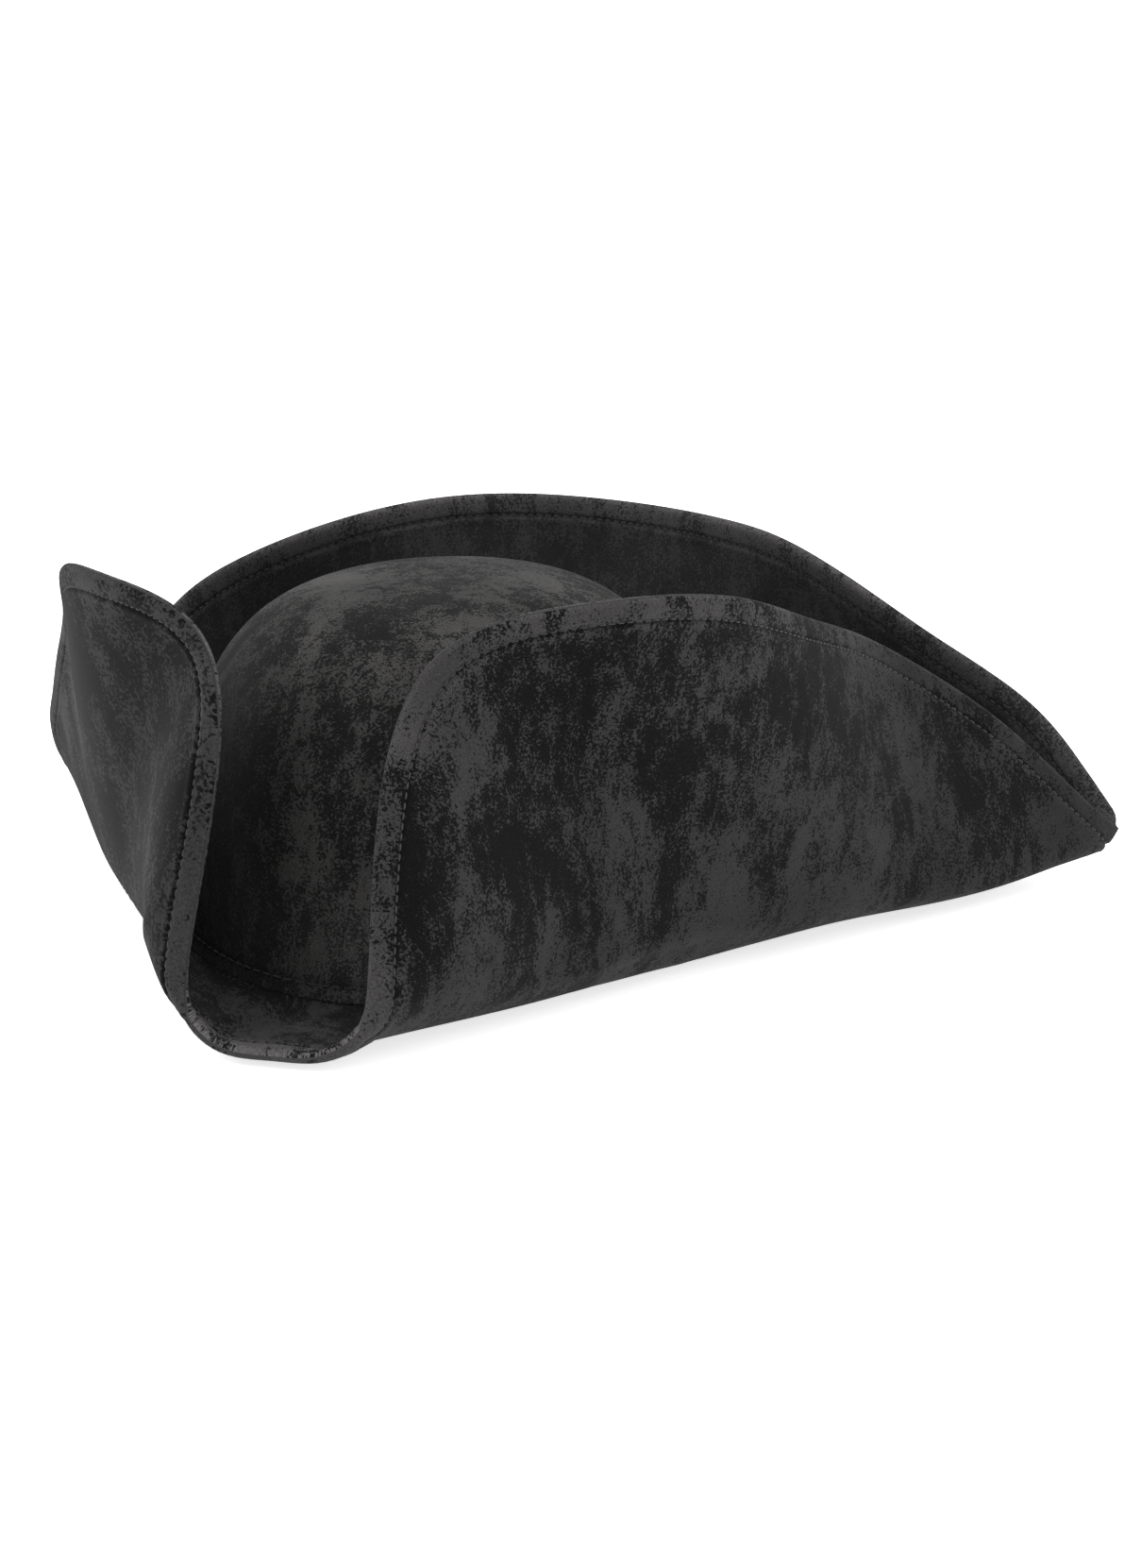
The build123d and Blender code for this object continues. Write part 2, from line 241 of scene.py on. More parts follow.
RIM_KNOTS, rim_at = rim_loop()
BEAK_INDEX = 2 + len(FRONT_RIM + LEFT_RIM)
KNOT_BACK = RIM_KNOTS[BEAK_INDEX + len(LEFT_BACK_RIM)]
LEFT_KNOTS = (RIM_KNOTS[0], RIM_KNOTS[2], RIM_KNOTS[BEAK_INDEX], KNOT_BACK)
RIGHT_BEAK_INDEX = BEAK_INDEX + len(LEFT_BACK_RIM + RIGHT_BACK_RIM)
RIGHT_KNOTS = (RIM_KNOTS[-1], RIM_KNOTS[-3], RIM_KNOTS[RIGHT_BEAK_INDEX], KNOT_BACK)


def even_knots(first, last):
    """Spline parameters between two knots, about COLUMN_STEP apart along the rim."""
    fine = np.linspace(first, last, KNOT_SAMPLES)
    legs = np.linalg.norm(np.diff(rim_at(fine), axis=0), axis=1)
    length = np.concatenate([[0.0], np.cumsum(legs)])
    count = max(4, int(round(length[-1] / COLUMN_STEP)))
    return np.interp(np.linspace(0, length[-1], count + 1), length, fine)


def saddle(points):
    """How far the foot of the hat stands off the table, from each point's direction."""
    turn = np.abs(np.arctan2(points[..., 0], -points[..., 1]))
    return SADDLE_LIFT * np.exp(-(((turn - SADDLE_AT) / SADDLE_SPREAD) ** 2))


def floor_line(base, leg, slope):
    """The brim's level part under one place of its edge, from the head opening out to base."""
    out = unit(flat(base))
    reach = np.linalg.norm(flat(base))
    edge = reach / math.hypot(base[0] / OPENING_HALF_WIDTH, base[1] / (OPENING_HALF_WIDTH * OVAL))
    foot = edge + CROWN_FOOT
    leg = min(leg, LEVEL_SHARE * (reach - foot))
    level = UP * (BRIM_MID_Z + saddle(base))
    p0 = out * foot + level
    p2 = base - leg * (out + UP * slope)
    p1 = out * (foot + LEVEL_SHARE * (p2 @ out - foot)) + level
    curve = bezier(p0, p1, p2, base, np.linspace(0, 1, LEVEL_STEPS))
    return np.concatenate([[out * edge + level], curve])


def lip_column(rim):
    """A section of the open front lip."""
    corner_slope = unit(flat(CREASE_FRONT)) @ SIDE_OUT
    share = rim[0] / CREASE_FRONT[0]
    long_leg = LIP_FLATNESS * (-rim[1] - CROWN_HALF_WIDTH * OVAL)
    leg = long_leg * (1 - share**2) + CREASE_DROP_FRONT / corner_slope * share**2
    return floor_line(rim, leg, corner_slope * share**2)


def wall_column(rim, base, out, drop, curl):
    """A section of a turn-up, with the level part under it. curl turns its free edge forwards."""
    slope = unit(flat(base)) @ out
    if np.linalg.norm(rim - base) < LOWEST_WALL:
        return floor_line(base, drop / slope, slope)
    bend = min(drop, np.linalg.norm(rim - base) / 3)
    knee = base + bend * (out + UP)
    straight = WALL_LEAD * (knee - rim)
    forwards = CURL_WAY * min(CURL, 0.5 * np.linalg.norm(rim - base))
    lead = straight * (1 - curl) + forwards * curl
    handle = base + KNEE_LEAD * bend * (out + UP)
    wall = bezier(base, handle, rim + lead, rim, np.linspace(0, 1, WALL_STEPS))
    return np.concatenate([floor_line(base, drop / slope, slope), wall[1:]])


def crease_wave(share, waves):
    """How far a side crease rises above the straight line between its ends."""
    return sum(height * MM * np.exp(-(((share - at) / spread) ** 2)) for height, at, spread in waves)


def side_column(rim, part, waves):
    """part runs along the rim, from the front crease (0) to the beak (1)."""
    share = np.clip(part + FAN * part * (1 - part) ** 2, 0, 1)
    base = CREASE_FRONT + (CREASE_BEAK - CREASE_FRONT) * share + UP * crease_wave(share, waves)
    turned = smooth((share - SIDE_TURN_AT) / SIDE_TURN_OVER)
    out = unit(SIDE_OUT * (1 - turned) + BEAK_OUT * turned)
    drop = CREASE_DROP_FRONT + (CREASE_DROP_BEAK - CREASE_DROP_FRONT) * share
    curl = smooth(part / CURL_STARTS) * (1 - smooth((part - CURL_FADES) / CURL_FADES))
    return wall_column(rim, base, out, drop, curl)


def back_column(rim):
    share = np.clip(rim[0] / CREASE_BEAK[0], 0, 1)
    base = CREASE_BACK + (CREASE_BEAK - CREASE_BACK) * share
    turned = smooth((share - BACK_TURN_AT) / BACK_TURN_OVER)
    out = unit(BACK_OUT * (1 - turned) + BEAK_OUT * turned)
    return wall_column(rim, base, out, CREASE_DROP_BEAK, 0.0)


def with_roll(line):
    """The line from the rim inwards, started a little outside the rim for the rolled edge."""
    line = line[::-1]
    return np.concatenate([[line[0] + unit(line[0] - line[4]) * RIM_ROLL], line])


def rows_from_rim(line, rim_line):
    """Points of one section: at the distances EDGE_ROWS from the rim, then evenly down to the opening."""
    legs = np.linalg.norm(np.diff(line, axis=0), axis=1)
    length = np.concatenate([[0.0], np.cumsum(legs)])
    near = length < EDGE_REACH
    gap = np.linalg.norm(line[near][:, None] - rim_line[None], axis=2).min(1)
    gap = np.maximum.accumulate(gap + length[near] * 1e-6)
    rows = np.interp(EDGE_ROWS, gap, length[near])
    rest = np.linspace(rows[-1], length[-1], FIELD_ROWS + 1)[1:]
    rows = np.concatenate([rows, rest])
    return np.stack([np.interp(rows, length, line[:, k]) for k in range(3)], axis=-1)


def half_columns(knots, waves, flip):
    """The sections of one half of the brim, from the lip's centre to the back's centre, turned to +X."""
    start, crease, beak, back = knots
    lip_t, side_t, back_t = (even_knots(a, b) for a, b in ((start, crease), (crease, beak), (beak, back)))
    side = rim_at(side_t) * flip
    part = np.concatenate([[0.0], np.cumsum(np.linalg.norm(np.diff(side, axis=0), axis=1))])
    lines = [lip_column(rim) for rim in rim_at(lip_t[:-1]) * flip]
    lines += [side_column(rim, p, waves) for rim, p in zip(side[:-1], part[:-1] / part[-1])]
    lines += [back_column(rim) for rim in rim_at(back_t) * flip]
    return [with_roll(line) for line in lines], len(lip_t) + len(side_t) - 2


def brim_grid():
    """The middle surface of the whole brim: columns round the rim, rows down from it, closed on itself."""
    left, left_beak = half_columns(LEFT_KNOTS, LEFT_WAVES, np.ones(3))
    right, right_beak = half_columns(RIGHT_KNOTS, RIGHT_WAVES, MIRROR)
    lines = left + [line * MIRROR for line in right[-2:0:-1]]
    rim_line = np.array([line[0] for line in lines])
    rim_line = np.concatenate([rim_line, (rim_line + np.roll(rim_line, -1, 0)) / 2])
    points = np.array([rows_from_rim(line, rim_line) for line in lines])
    return points, left_beak, len(lines) - right_beak


def grid_normals(points):
    """Normals of a grid that closes on itself round its columns; they point up from the brim's floor."""
    around = np.roll(points, -1, 0) - np.roll(points, 1, 0)
    down = np.gradient(points, axis=1)
    return unit(np.cross(around, down))


# ---------------------------------------------------------------- meshes


def add_mesh(name, points, faces, nap, wear_and_painted_light=None, tone=None, ground=None):
    """A smooth mesh. nap is the place on the cloth that each vertex takes its pattern from.

    The first of the other three values is how much more of the grey coat shows there, from wear and from
    painted light and shade; tone is how bright the coat is and ground how bright the black under it is, and
    both carry painted light and shade.
    """
    mesh = bpy.data.meshes.new(name)
    mesh.from_pydata(np.asarray(points, float).tolist(), [], faces)
    field = mesh.attributes.new("nap", "FLOAT_VECTOR", "POINT")
    field.data.foreach_set("vector", np.asarray(nap, np.float32).ravel())
    for key, values, usual in (("wear_and_painted_light", wear_and_painted_light, 0.0), ("tone", tone, 1.0), ("ground", ground, 1.0)):
        field = mesh.attributes.new(key, "FLOAT", "POINT")
        values = np.full(len(points), usual) if values is None else values
        field.data.foreach_set("value", np.asarray(values, np.float32).ravel())
    mesh.shade_smooth()
    mesh.set_sharp_from_angle(angle=SHARP_ANGLE)
    made = bpy.data.objects.new(name, mesh)
    bpy.context.scene.collection.objects.link(made)
    return made


def grid_faces(columns, rows, close=False):
    """Quads over a grid of columns, closed from the last column back to the first if asked."""
    faces = []
    for c in range(columns if close else columns - 1):
        d = (c + 1) % columns
        for r in range(rows - 1):
            faces.append([c * rows + r, d * rows + r, d * rows + r + 1, c * rows + r + 1])
    return faces


BRIM, LEFT_BEAK, RIGHT_BEAK = brim_grid()
NORMAL = grid_normals(BRIM)
COLUMNS = len(BRIM)
ROWS = BRIM.shape[1]
DOWN = np.concatenate([EDGE_ROWS, np.full(FIELD_ROWS, 1.0)])


def half_thickness(down):
    """Half the brim's thickness at a distance from the rim: rolled edge, channel, groove and ridge."""
    t = BRIM_HALF_T + CHANNEL_PUFF * np.sin(np.pi * np.clip(down / CHANNEL, 0, 1)) ** 0.7
    t = t - GROOVE * np.exp(-(((down - CHANNEL) / GROOVE_SPREAD) ** 2))
    t = t + RIDGE * np.exp(-(((down - CHANNEL - RIDGE_INSIDE) / RIDGE_SPREAD) ** 2))
    roll = np.clip(down / EDGE_ROUND, 0, 1)
    return t * np.sqrt(1 - (1 - roll) ** 2)


def edge_wear_and_painted_light(ids, side, inner):
    """Wear, painted light and painted shade over the grid of one face of a sector, given as the amount of
    coat, the tone of the coat and the tone of the black.
    """
    down = np.broadcast_to(DOWN[None, :], (len(ids), ROWS))
    channel = 1 - smooth((down - CHANNEL + 0.5 * MM) / (1.0 * MM))
    rim = np.exp(-((down / RIM_HIGHLIGHT) ** 2))
    ridge = np.exp(-(((down - CHANNEL - RIDGE_INSIDE) / RIDGE_WEAR_AND_HIGHLIGHT) ** 2))
    # The channel and the ridge show more coat from wear. The coat is painted brighter in the channel and on
    # the ridge, and a painted highlight brightens it right at the rim
    wear_and_painted_light = CHANNEL_WORN * channel + RIDGE_WORN * ridge
    tone = 1.0 + 0.6 * channel + 0.5 * rim + 0.2 * ridge
    ground = np.ones_like(tone)
    height = BRIM[ids][..., 2]
    if inner:
        # The inner faces' coat is 20 % brighter and their black a little greyer. Towards the back they lie
        # in shade, which is painted in: less coat, a duller coat and a much greyer, flatter black
        shaded = smooth((BRIM[ids][..., 1] / MM + 40) / 60)
        wear_and_painted_light = wear_and_painted_light - 0.035 * shaded * (1 - channel)
        tone = tone * (1.2 - 0.15 * shaded)
        ground = ground + 0.2 + 3.0 * shaded
    else:
        # The outer faces are more worn at the crease, and their coat is duller there. Along the front edge
        # the channel gets more coat, partly from wear and partly as painted light. Painted shade dulls the
        # coat towards the back and darkens each turn-up's coat and black by its own share, and the channel
        # keeps less of its painted extra brightness, least at the top corner
        low = 1 - smooth((height - 18 * MM) / (26 * MM))
        wear_and_painted_light = wear_and_painted_light + 0.05 * low
        rear = smooth(BRIM[ids][..., 1] / (90 * MM))
        front = 1 - smooth((BRIM[ids][..., 1] / MM + 145) / 20)
        corner = np.exp(-((np.linalg.norm(BRIM[ids] - TOP_CORNER, axis=-1) / CORNER_SHADE) ** 2))
        tone = tone * (1 - 0.12 * low) * (1 - 0.18 * rear) * SECTOR_COAT_SHADE[side]
        tone = tone * (1 - channel * (0.1 + 0.25 * rear + 0.3 * corner))
        wear_and_painted_light = wear_and_painted_light + SECTOR_WORN[side] * (1 - channel) + 0.07 * channel * front
        ground = ground * SECTOR_BLACK_SHADE[side]
    # Painted shade in the stitched groove: less coat, a darker coat and a darker black
    groove = np.exp(-(((down - CHANNEL) / GROOVE_SHADE) ** 2))
    wear_and_painted_light = wear_and_painted_light - 0.05 * groove
    tone = tone * (1 - 0.25 * groove)
    ground = ground * (1 - 0.15 * groove)
    return wear_and_painted_light, tone, ground


def brim_sector(name, first, last):
    """One sector of the brim, as one closed skin: upper face, rolled rim, under face and two ends."""
    side = name.split("_")[0]
    ids = [i % COLUMNS for i in range(first, last + 1)]
    thick = half_thickness(DOWN)[None, :, None]
    upper = BRIM[ids] + NORMAL[ids] * thick
    under = BRIM[ids] - NORMAL[ids] * thick
    count = len(ids)
    loop = np.concatenate([under[:, :0:-1], upper], axis=1)
    corner = CREASE_FRONT * MIRROR
    run = SIDE_RUN * MIRROR
    beside = smooth(-BRIM[ids][..., 0] / (25 * MM))[..., None]
    from_corner = BRIM[ids] - corner
    along = (from_corner @ run)[..., None] * run
    drawn = (1 - SECTOR_STRETCH[side]) * along + (1 - SECTOR_GRAIN[side]) * (from_corner - along)
    cloth_place = BRIM[ids] - drawn * beside
    nap = np.concatenate([cloth_place[:, :0:-1], cloth_place + UPPER_FACE_CLOTH], axis=1)
    # Wear, painted light and painted shade of the under (outer) and the upper (inner) faces
    faces_wear_and_painted_light = zip(edge_wear_and_painted_light(ids, side, inner=False), edge_wear_and_painted_light(ids, side, inner=True))
    wear_and_painted_light, tone, ground = (np.concatenate([low[:, :0:-1], high], axis=1).ravel() for low, high in faces_wear_and_painted_light)
    size = loop.shape[1]
    faces = grid_faces(count, size)
    for c in range(count - 1):
        faces.append([c * size + size - 1, (c + 1) * size + size - 1, (c + 1) * size, c * size])
    for c, flip in ((0, True), (count - 1, False)):
        for r in range(ROWS - 1):
            a = c * size + ROWS - 1 + r
            b = c * size + ROWS - 1 - r
            face = [a, b, b - 1, a + 1] if r else [a, b - 1, a + 1]
            faces.append(face[::-1] if flip else face)
    return add_mesh(name, loop.reshape(-1, 3), faces, nap.reshape(-1, 3), wear_and_painted_light, tone, ground)


def capsule(centre, along, side, up, length, radius):
    """One stitch: a short rounded thread that dips at both ends."""
    rings = [(-place, fat, lift) for place, fat, lift in reversed(STITCH_HALF)] + STITCH_HALF
    points = []
    for place, fat, lift in rings:
        middle = centre + along * place * length + up * lift * radius
        for k in range(STITCH_SIDES):
            a = math.tau * k / STITCH_SIDES
            points.append(middle + (side * math.cos(a) + up * math.sin(a)) * radius * fat)
    faces = []
    for ring in range(len(rings) - 1):
        low = ring * STITCH_SIDES
        high = low + STITCH_SIDES
        for k in range(STITCH_SIDES):
            n = (k + 1) % STITCH_SIDES
            faces.append([low + k, low + n, high + n, high + k])
    faces.append(list(reversed(range(STITCH_SIDES))))
    last = (len(rings) - 1) * STITCH_SIDES
    faces.append([last + k for k in range(STITCH_SIDES)])
    return points, faces


def stitches_on(path, normals, pitch=STITCH_PITCH, stitch=STITCH_LENGTH, closed=False):
    """Stitches at an even pitch along a path, each lying along it and facing its normal."""
    path = np.asarray(path)
    if closed:
        path = np.concatenate([path, path[:1]])
        normals = np.concatenate([normals, normals[:1]])
    legs = np.linalg.norm(np.diff(path, axis=0), axis=1)
    length = np.concatenate([[0.0], np.cumsum(legs)])
    count = int(length[-1] / pitch)
    points = []
    faces = []
    for k in range(count):
        place = (k + 0.5) * length[-1] / count
        centre = np.array([np.interp(place, length, path[:, i]) for i in range(3)])
        ahead = np.array([np.interp(place + STITCH_LOOK, length, path[:, i]) for i in range(3)])
        behind = np.array([np.interp(place - STITCH_LOOK, length, path[:, i]) for i in range(3)])
        up = unit(np.array([np.interp(place, length, normals[:, i]) for i in range(3)]))
        along = unit(ahead - behind)
        along = unit(along + np.cross(up, along) * rng.normal(0, STITCH_WANDER))
        side = np.cross(up, along)
        made, quads = capsule(centre, along, side, up, stitch, STITCH_R)
        faces += [[len(points) + i for i in q] for q in quads]
        points += made
    return np.array(points), faces


def edge_stitches(name, first, last):
    """Both rows of topstitching of one sector, in the groove of the upper and of the under face."""
    ids = [i % COLUMNS for i in range(first, last + 1)]
    row = int(np.argmin(np.abs(EDGE_ROWS - CHANNEL)))
    lift = half_thickness(np.array([CHANNEL]))[0] + 0.5 * STITCH_R
    points = np.zeros((0, 3))
    faces = []
    for face in (1, -1):
        normals = NORMAL[ids][:, row] * face
        made, quads = stitches_on(BRIM[ids][:, row] + normals * lift, normals)
        faces += [[len(points) + i for i in q] for q in quads]
        points = np.concatenate([points, made])
    return add_mesh(name, points, faces, points)


def dome_points(inset, turns, steps):
    """A grid on the crown's dome, moved inwards by inset, from its base to its top."""
    radius = CROWN_HALF_WIDTH - inset
    height = CROWN_HEIGHT - inset
    around = np.linspace(0, math.tau, turns, endpoint=False)
    rise = np.linspace(0, math.pi / 2, steps + 1)
    r = radius * np.clip(np.cos(rise), 0, 1) ** (2 / CROWN_TOP_POWER)
    r[-1] = 0.0
    z = CROWN_BASE_Z + height * np.sin(rise) ** (2 / CROWN_SIDE_POWER)
    x = r[None] * np.sin(around)[:, None]
    y = -r[None] * OVAL * np.cos(around)[:, None]
    points = np.stack([x, y, np.repeat(z[None], turns, 0)], -1)
    lift = saddle(points) * (1 - smooth((points[..., 2] - CROWN_BASE_Z) / SADDLE_FADE))
    return points + lift[..., None] * UP


def resample_rows(points, rows):
    """The same grid with given distances up each column from its foot."""
    out = []
    for line in points:
        legs = np.linalg.norm(np.diff(line, axis=0), axis=1)
        length = np.concatenate([[0.0], np.cumsum(legs)])
        places = rows * length[-1]
        out.append(np.stack([np.interp(places, length, line[:, k]) for k in range(3)], -1))
    return np.array(out)


def dome_skin(name, inset, thickness, roll):
    """A closed dome: outer face, rolled base edge and inner face."""
    turns = CROWN_TURNS
    rows = np.concatenate([np.linspace(0, CROWN_FOOT_SHARE, 15)[:-1], np.linspace(CROWN_FOOT_SHARE, 1, 64)])
    outer = resample_rows(dome_points(inset, turns, PROFILE_STEPS), rows)
    inner = resample_rows(dome_points(inset + thickness, turns, PROFILE_STEPS), rows)
    normal = unit(np.cross(np.roll(outer, -1, 0) - np.roll(outer, 1, 0), np.gradient(outer, axis=1)))
    normal[:, -1] = UP
    up = outer[..., 2] - outer[:, :1, 2]
    if roll:
        swell = FOOT_SWELL * np.exp(-((up / FOOT_SWELL_REACH) ** 2))
        dent = SEAM_DENT * np.exp(-(((up - SEAM_HEIGHT) / SEAM_DENT_SPREAD) ** 2))
        outer = outer + normal * (swell - dent)[..., None]
    size = len(rows)
    ring = np.concatenate([inner[:, :-1][:, ::-1], outer[:, :-1]], axis=1)
    width = ring.shape[1]
    faces = grid_faces(turns, width, close=True)
    points = ring.reshape(-1, 3)
    tip_in = len(points)
    points = np.concatenate([points, [inner[0, -1], outer[0, -1]]])
    for c in range(turns):
        d = (c + 1) % turns
        faces.append([d * width, c * width, tip_in])
        faces.append([c * width + width - 1, d * width + width - 1, tip_in + 1])
    nap = points.copy()
    inside = np.zeros(len(points), bool)
    for c in range(turns):
        inside[c * width: c * width + size - 1] = True
    nap[inside] += CROWN_INSIDE_CLOTH
    # The crown's top is painted lighter, with more coat and a brighter coat, as top light makes it. Its
    # right side lies in the right turn-up's shadow, painted in as less coat and a much greyer, flatter
    # black. At its foot, in the shade beside the brim, painted light brightens the coat and greys the
    # black, with a little more coat
    top = smooth((points[:, 2] - 85 * MM) / (45 * MM))
    foot = 1 - smooth((points[:, 2] - 10 * MM) / (50 * MM))
    shaded = smooth((-20 * MM - points[:, 0]) / (40 * MM)) * (1 - top)
    wear_and_painted_light = 0.05 * top + 0.02 * foot - 0.007 - 0.06 * shaded
    tone = 0.95 + 0.1 * top + 0.8 * foot
    ground = 1.15 + 2.2 * foot + 2.6 * shaded
    return add_mesh(name, points, faces, nap, wear_and_painted_light, tone, ground)


def oval_path(half_width, height, turns=240):
    """A closed oval line at a height above the hat's foot, with its outward normals."""
    around = np.linspace(0, math.tau, turns, endpoint=False)
    points = np.stack([half_width * np.sin(around), -half_width * OVAL * np.cos(around), around * 0], -1)
    normals = unit(np.stack([np.sin(around) * OVAL, -np.cos(around), around * 0], -1))
    points[:, 2] = saddle(points) + height
    return points, normals


def stitch_ring(name, half_width, height, face, pitch, stitch):
    """A row of stitches round the head opening, on the outside (face 1) or the inside (-1)."""
    path, normals = oval_path(half_width, height)
    points, faces = stitches_on(path, normals * face, pitch, stitch, closed=True)
    return add_mesh(name, points, faces, points)


def sweatband_cloth(name):
    """A closed band inside the opening, with rounded edges and slack at its upper edge."""
    section = []
    for step in np.linspace(0, math.tau, 33)[:-1]:
        across = 0.5 * SWEATBAND_T * math.cos(step)
        along = math.sin(step)
        along = math.copysign(abs(along) ** 0.25, along)
        section.append((across * (1 - abs(along) ** 12 * 0.6), 0.5 * SWEATBAND_HEIGHT * (1 + along)))
    rings = []
    for across, height in section:
        path, normals = oval_path(SWEATBAND_OUT - 0.5 * SWEATBAND_T, height)
        turn = np.arctan2(path[:, 0], -path[:, 1])
        slack = 0.25 * MM * np.sin(9 * turn + 1) * np.sin(5 * turn) * height / SWEATBAND_HEIGHT
        rings.append(path + normals * (across + slack)[:, None])
    points = np.array(rings)
    faces = grid_faces(len(points), points.shape[1], close=True)
    wrap = []
    for r in range(len(points)):
        s = (r + 1) % len(points)
        last = points.shape[1] - 1
        width = points.shape[1]
        wrap.append([r * width + last, s * width + last, s * width, r * width])
    return add_mesh(name, points.reshape(-1, 3), [f[::-1] for f in faces + wrap], points.reshape(-1, 3))


# ---------------------------------------------------------------- materials

MATT = 0.9
FLOOR_WHITE = (0.9, 0.9, 0.9, 1)
PURE_WHITE = (1, 1, 1, 1)
FLOOR_GLOW = 0.7
SUEDE_BUMP = 0.25 * MM
CLOTH_BUMP = 0.2 * MM

# Suede noise scales, per metre: patches, their ragged outline, speckles, lone flecks, grain and wash
PATCH_SCALE = 42.0
OUTLINE_SCALE = 200.0
SPECKLE_SCALE = 1100.0
FLECK_SCALE = 1500.0
GRAIN_SCALE = 1900.0
WASH_SCALE = 20.0


def new_material(name):
    material = bpy.data.materials.new(name)
    material.use_nodes = True
    nodes = material.node_tree.nodes
    return material, nodes, material.node_tree.links, nodes["Principled BSDF"]


def noise(nodes, links, vector, scale, detail, rough, distortion=0.0):
    made = nodes.new("ShaderNodeTexNoise")
    made.inputs["Scale"].default_value = scale
    made.inputs["Detail"].default_value = detail
    made.inputs["Roughness"].default_value = rough
    made.inputs["Distortion"].default_value = distortion
    links.new(vector, made.inputs["Vector"])
    return made.outputs["Fac"]


def math_node(nodes, links, operation, a, b):
    made = nodes.new("ShaderNodeMath")
    made.operation = operation
    for socket, value in zip(made.inputs, (a, b)):
        if isinstance(value, (int, float)):
            socket.default_value = value
        else:
            links.new(value, socket)
    return made.outputs[0]


def ramp(nodes, links, value, stops):
    made = nodes.new("ShaderNodeValToRGB")
    points = made.color_ramp.elements
    for i, (place, colour) in enumerate(stops):
        point = points[i] if i < 2 else points.new(place)
        point.position = place
        point.color = (*colour, 1.0) if isinstance(colour, tuple) else (colour, colour, colour, 1.0)
    links.new(value, made.inputs["Fac"])
    return made.outputs["Color"]


def attribute(nodes, name, output):
    made = nodes.new("ShaderNodeAttribute")
    made.attribute_name = name
    return made.outputs[output]


def new_mix(nodes, blend):
    made = nodes.new("ShaderNodeMix")
    made.data_type = "RGBA"
    made.blend_type = blend
    made.inputs["Factor"].default_value = 1.0
    return made


def suede(name, dark, grey, balance, tint, streak):
    """Distressed faux suede: matt black nap with a worn grey coat that breaks up into fine speckles."""
    material, nodes, links, shader = new_material(name)
    place = attribute(nodes, "nap", "Vector")
    tilt = nodes.new("ShaderNodeMapping")
    tilt.inputs["Rotation"].default_value = (math.radians(streak[0]), math.radians(streak[1]), 0)
    tilt.inputs["Scale"].default_value = (1.0, 1.0, 0.5)
    links.new(place, tilt.inputs["Vector"])
    long_way = tilt.outputs["Vector"]
    patches = noise(nodes, links, long_way, PATCH_SCALE, 3.0, 0.55, 0.5)
    middling = noise(nodes, links, long_way, OUTLINE_SCALE, 2.0, 0.6, 0.3)
    speckle = noise(nodes, links, place, SPECKLE_SCALE, 2.0, 0.6)
    medium = math_node(nodes, links, "MULTIPLY", math_node(nodes, links, "SUBTRACT", middling, 0.5), 0.7)
    fine = math_node(nodes, links, "MULTIPLY", math_node(nodes, links, "SUBTRACT", speckle, 0.5), 1.15)
    broad = math_node(nodes, links, "ADD", patches, medium)
    # The mesh's coat amount, from wear and from painted light and shade, shifts the patches
    broad = math_node(nodes, links, "ADD", broad, attribute(nodes, "wear_and_painted_light", "Fac"))
    total = math_node(nodes, links, "ADD", broad, fine)
    coat_on = ramp(nodes, links, total, [(balance - 0.035, 0.0), (balance + 0.045, 1.0)])
    lone = noise(nodes, links, place, FLECK_SCALE, 1.0, 0.5)
    flecks = ramp(nodes, links, lone, [(0.63, 0.0), (0.68, 0.9)])
    reach = ramp(nodes, links, broad, [(balance - 0.22, 0.15), (balance - 0.03, 1.0)])
    wear_and_painted_light = math_node(nodes, links, "MAXIMUM", coat_on, math_node(nodes, links, "MULTIPLY", flecks, reach))
    tone = noise(nodes, links, place, GRAIN_SCALE, 2.0, 0.75)
    shade = ramp(nodes, links, tone, [(0.34, 0.6), (0.66, 1.4)])
    wash = noise(nodes, links, long_way, WASH_SCALE, 2.0, 0.5)
    depth = ramp(nodes, links, wash, [(0.35, 0.72), (0.65, 1.15)])
    # The tone and ground attributes scale the coat and the black; they carry painted light and shade set on
    # the meshes
    coat = new_mix(nodes, "MULTIPLY")
    coat.inputs["A"].default_value = (*(grey * c for c in tint), 1)
    links.new(attribute(nodes, "tone", "Fac"), coat.inputs["B"])
    black = new_mix(nodes, "MULTIPLY")
    black.inputs["A"].default_value = (dark * 1.03, dark, dark, 1)
    links.new(attribute(nodes, "ground", "Fac"), black.inputs["B"])
    mix = new_mix(nodes, "MIX")
    links.new(black.outputs["Result"], mix.inputs["A"])
    links.new(coat.outputs["Result"], mix.inputs["B"])
    links.new(wear_and_painted_light, mix.inputs["Factor"])
    colour = mix.outputs["Result"]
    for factor in (shade, depth):
        shaded = new_mix(nodes, "MULTIPLY")
        links.new(colour, shaded.inputs["A"])
        links.new(factor, shaded.inputs["B"])
        colour = shaded.outputs["Result"]
    links.new(colour, shader.inputs["Base Color"])
    rough = ramp(nodes, links, wear_and_painted_light, [(0.0, 0.95), (1.0, 0.8)])
    links.new(rough, shader.inputs["Roughness"])
    shader.inputs["Specular IOR Level"].default_value = 0.06
    shader.inputs["Sheen Weight"].default_value = 0.03
    shader.inputs["Sheen Roughness"].default_value = 0.5
    height = math_node(nodes, links, "ADD", math_node(nodes, links, "MULTIPLY", wear_and_painted_light, 0.6), tone)
    bump = nodes.new("ShaderNodeBump")
    bump.inputs["Strength"].default_value = 0.55
    bump.inputs["Distance"].default_value = SUEDE_BUMP
    links.new(height, bump.inputs["Height"])
    links.new(bump.outputs["Normal"], shader.inputs["Normal"])
    return material


